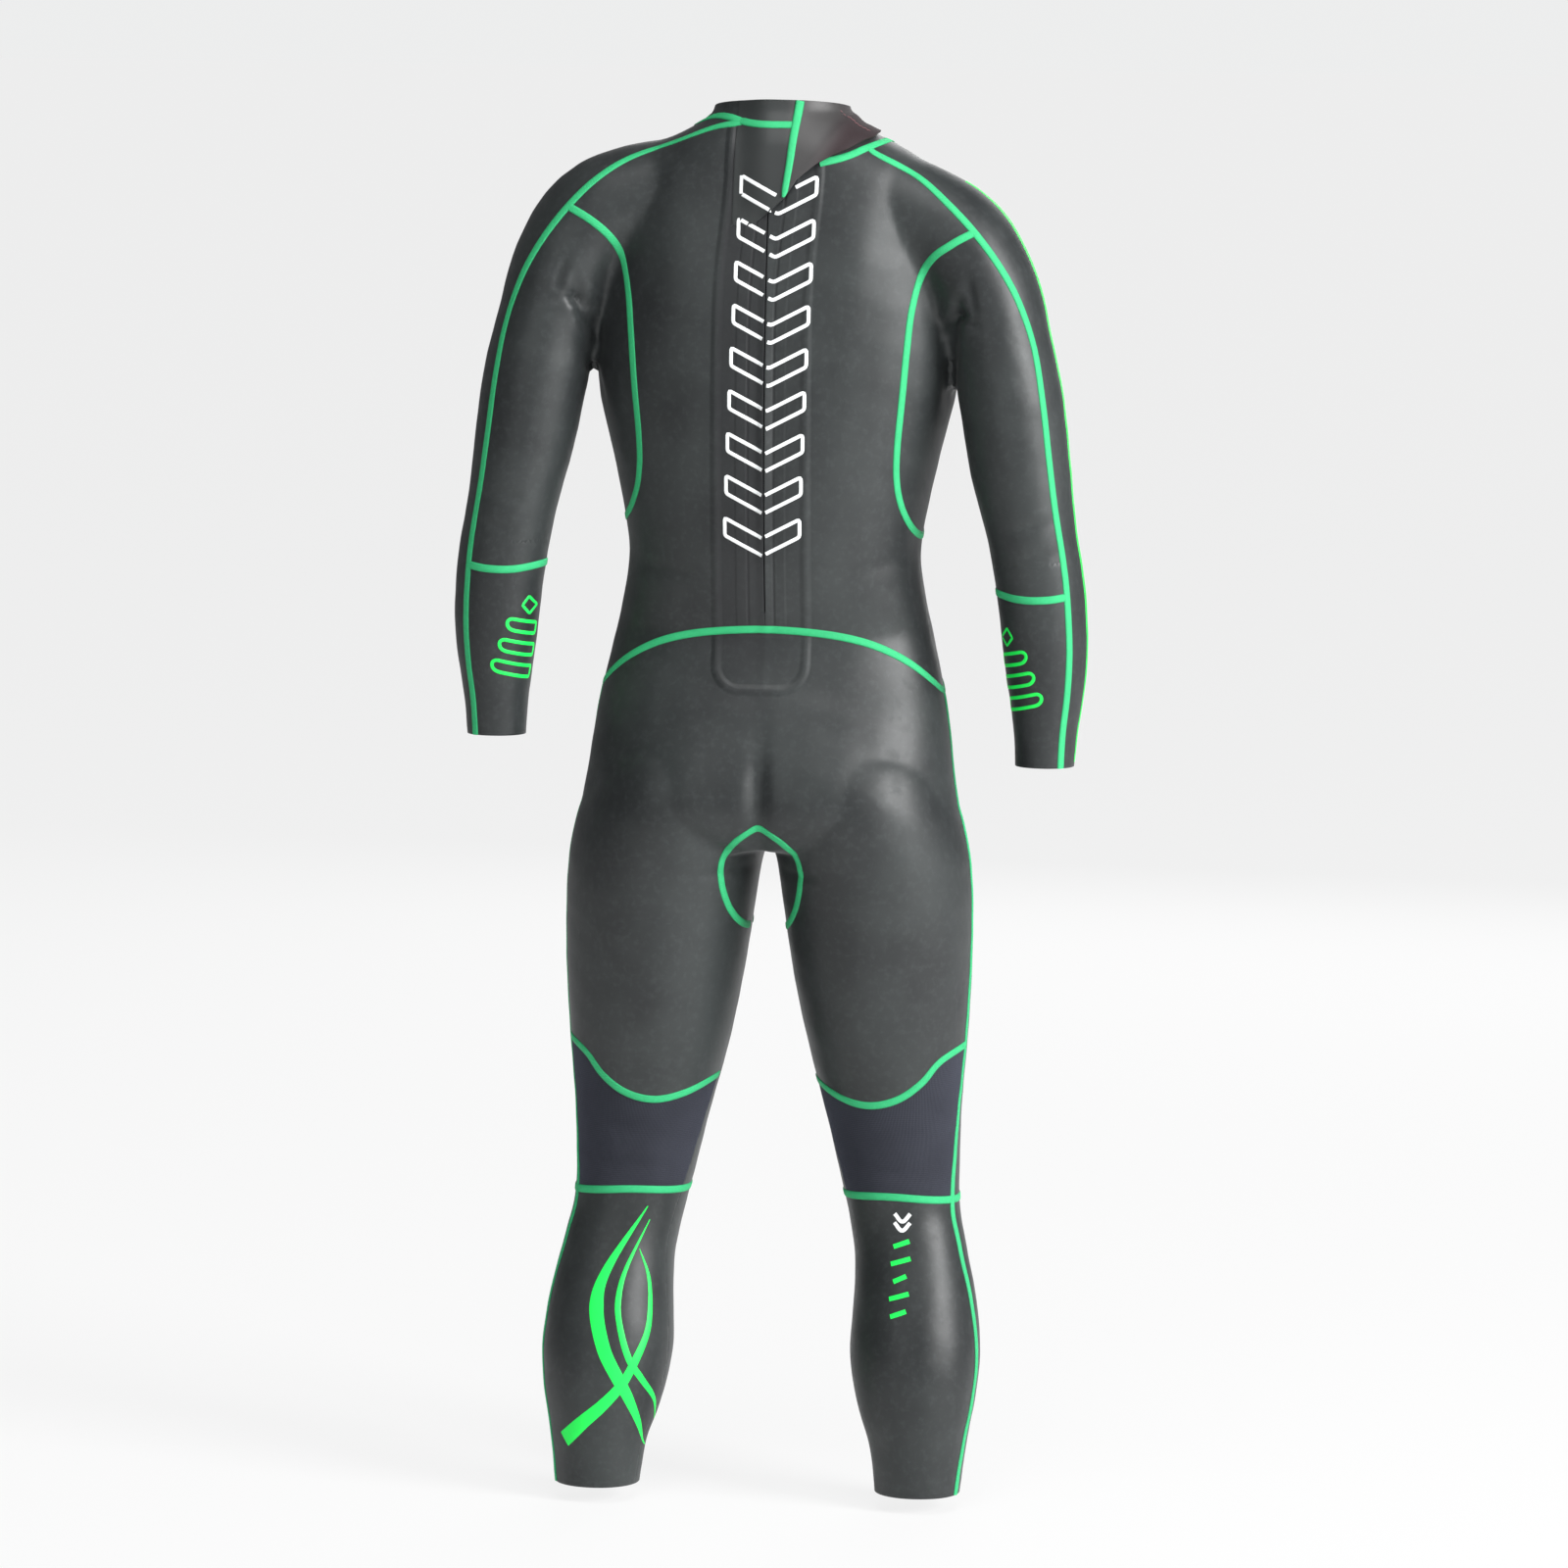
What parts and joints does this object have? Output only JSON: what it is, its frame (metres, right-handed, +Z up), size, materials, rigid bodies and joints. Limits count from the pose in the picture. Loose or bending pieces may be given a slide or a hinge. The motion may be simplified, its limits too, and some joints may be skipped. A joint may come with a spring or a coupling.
{
  "type": "full wetsuit",
  "caption": "Full-length long-sleeved swimming wetsuit of sewn neoprene panels with taped seams, a back zip and a hook-and-loop collar flap.",
  "frame": {"origin": "centre of the neck opening's rim", "axes": "+Z up along the wearer, -Y out of the wearer's back, +X to the wearer's right arm"},
  "size_m": [0.645, 0.2552, 1.4179],
  "materials": {
    "smoothskin": "smooth coated neoprene skin with a soft broad sheen",
    "stretch_jersey": "matt knitted nylon jersey bonded to neoprene",
    "seam_tape": "flat stitched stretch tape",
    "zip_nylon": "moulded nylon coil",
    "zip_webbing": "woven zip tape",
    "zip_metal": "corrosion-resistant plated metal",
    "hook_patch": "moulded hooks",
    "loop_patch": "brushed loop pile"
  },
  "bodies": {
    "suit": {"back_panel_left": "smoothskin", "collar_left": "smoothskin", "outer_sleeve_left": "smoothskin", "underarm_panel_left": "smoothskin", "forearm_panel_left": "smoothskin", "front_thigh_left": "smoothskin", "front_shin_left": "smoothskin", "calf_panel_left": "smoothskin", "knee_back_left": "stretch_jersey", "back_panel_right": "smoothskin", "collar_right": "smoothskin", "outer_sleeve_right": "smoothskin", "underarm_panel_right": "smoothskin", "forearm_panel_right": "smoothskin", "front_thigh_right": "smoothskin", "front_shin_right": "smoothskin", "calf_panel_right": "smoothskin", "knee_back_right": "stretch_jersey", "chest_panel": "smoothskin", "seat_panel": "smoothskin", "gusset_panel": "smoothskin", "neck_tape_left": "seam_tape", "raglan_tape_back_left": "seam_tape", "raglan_tape_front_left": "seam_tape", "underarm_tape_left": "seam_tape", "forearm_tape_left": "seam_tape", "knee_top_tape_left": "seam_tape", "knee_foot_tape_left": "seam_tape", "outer_leg_tape_left": "seam_tape", "neck_tape_right": "seam_tape", "raglan_tape_back_right": "seam_tape", "raglan_tape_front_right": "seam_tape", "underarm_tape_right": "seam_tape", "forearm_tape_right": "seam_tape", "knee_top_tape_right": "seam_tape", "knee_foot_tape_right": "seam_tape", "outer_leg_tape_right": "seam_tape", "neck_tape_front": "seam_tape", "hip_tape_back": "seam_tape", "hip_tape_front": "seam_tape", "gusset_tape_back": "seam_tape", "gusset_tape_front": "seam_tape", "zip_coil_left": "zip_nylon", "zip_tape_left": "zip_webbing", "zip_top_stop_left": "zip_metal", "zip_coil_right": "zip_nylon", "zip_tape_right": "zip_webbing", "zip_top_stop_right": "zip_metal", "zip_bottom_stop": "zip_metal", "zip_backing_flap": "stretch_jersey", "collar_loop_patch": "loop_patch"},
    "zip_slider": {"zip_slider": "zip_metal"},
    "pull_tab": {"zip_pull_tab": "zip_metal"},
    "collar_flap": {"flap_root_panel": "smoothskin", "collar_flap_panel": "smoothskin", "flap_tape": "seam_tape", "flap_hook_patch": "hook_patch"}
  },
  "joints": [
    {"name": "zip_run", "type": "hinge", "parent": "suit", "child": "zip_slider", "pos_m": [0, 0.836, -0.272], "axis": [1, 0, 0], "range_deg": [0, 25.6]},
    {"name": "pull_tab_swing", "type": "hinge", "parent": "zip_slider", "child": "pull_tab", "pos_m": [0, -0.09417, -0.07168], "axis": [1, 0, 0], "range_deg": [0, 165]},
    {"name": "flap_open", "type": "hinge", "parent": "suit", "child": "collar_flap", "pos_m": [-0.012, -0.1015, -0.112], "axis": [0, 0.235, 0.972], "range_deg": [-110, 0], "deforming": ["flap_root_panel"]}
  ]
}
